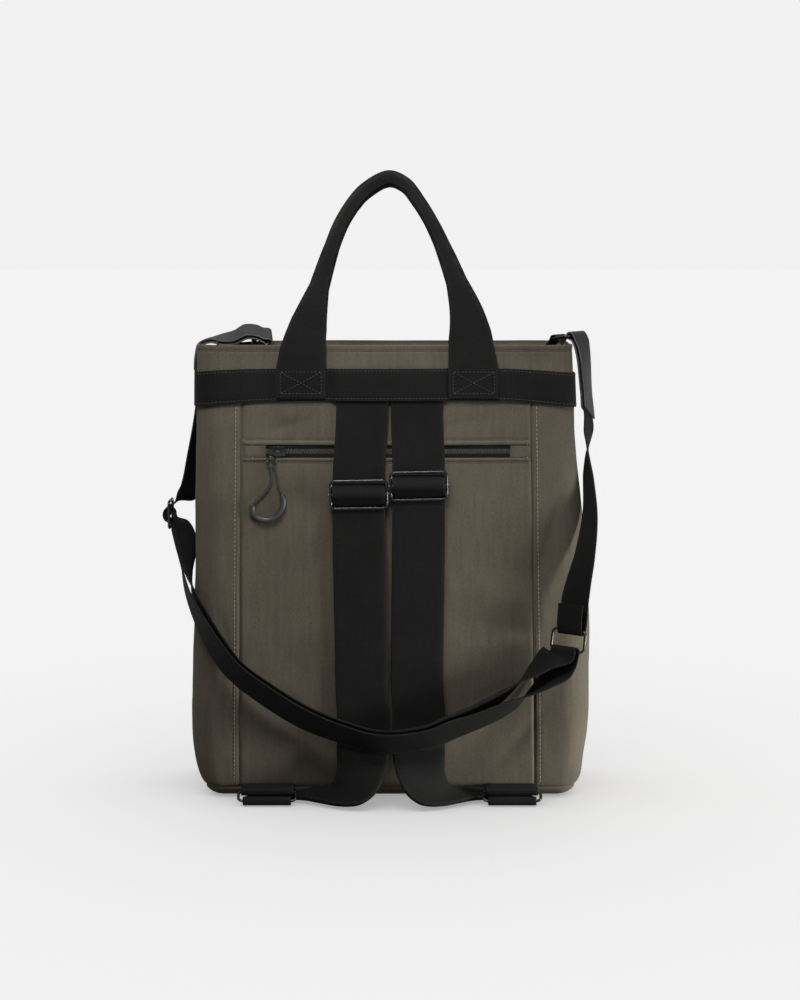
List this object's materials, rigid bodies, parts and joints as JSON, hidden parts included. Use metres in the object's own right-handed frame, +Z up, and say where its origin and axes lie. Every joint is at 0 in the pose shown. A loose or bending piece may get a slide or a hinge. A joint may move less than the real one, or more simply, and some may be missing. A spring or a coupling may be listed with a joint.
{
  "type": "convertible backpack",
  "caption": "Tall fabric tote that turns into a backpack: open top, webbing carry handles, backpack straps, shoulder strap on rings and a zipped pocket.",
  "frame": {"origin": "centre of the base's flat underside, on the ground", "axes": "+Z up to the handles; -Y is the side with the backpack straps and the zipped pocket; +X is the right as seen from that side"},
  "size_m": [0.4034, 0.1779, 0.5747],
  "materials": {
    "twill": "matte khaki cotton twill",
    "webbing": "matte black ribbed webbing",
    "leather": "black pebbled leather",
    "gunmetal": "dark gunmetal, satin",
    "zip_plastic": "black moulded",
    "cord": "black braided cord",
    "grip": "matte dark grey"
  },
  "bodies": {
    "root": {"rim_facing": "twill", "front_panel": "twill", "back_panel": "twill", "side_panel_left": "twill", "side_panel_right": "twill", "base_panel": "twill", "top_band": "webbing", "zip_end_tab_left": "twill", "zip_end_tab_right": "twill", "zip_tape_upper": "webbing", "zip_tape_lower": "webbing", "zip_teeth": "zip_plastic", "zip_slider": "gunmetal", "zip_ring": "gunmetal", "pull_cord": "cord", "pull_grip": "grip", "handle_front": "webbing", "handle_back": "webbing", "backpack_strap_left": "webbing", "backpack_strap_right": "webbing", "backpack_slider_left": "gunmetal", "backpack_slider_right": "gunmetal", "anchor_ring_left": "gunmetal", "anchor_ring_right": "gunmetal", "anchor_tab_left": "webbing", "anchor_tab_right": "webbing", "shoulder_strap_long": "webbing", "shoulder_strap_short": "webbing", "shoulder_slider": "gunmetal", "shoulder_ring": "gunmetal", "leather_tab_left": "leather", "leather_tab_right": "leather", "top_ring_left": "gunmetal", "top_ring_right": "gunmetal", "ring_tab_left": "webbing", "ring_tab_right": "webbing"}
  },
  "joints": []
}
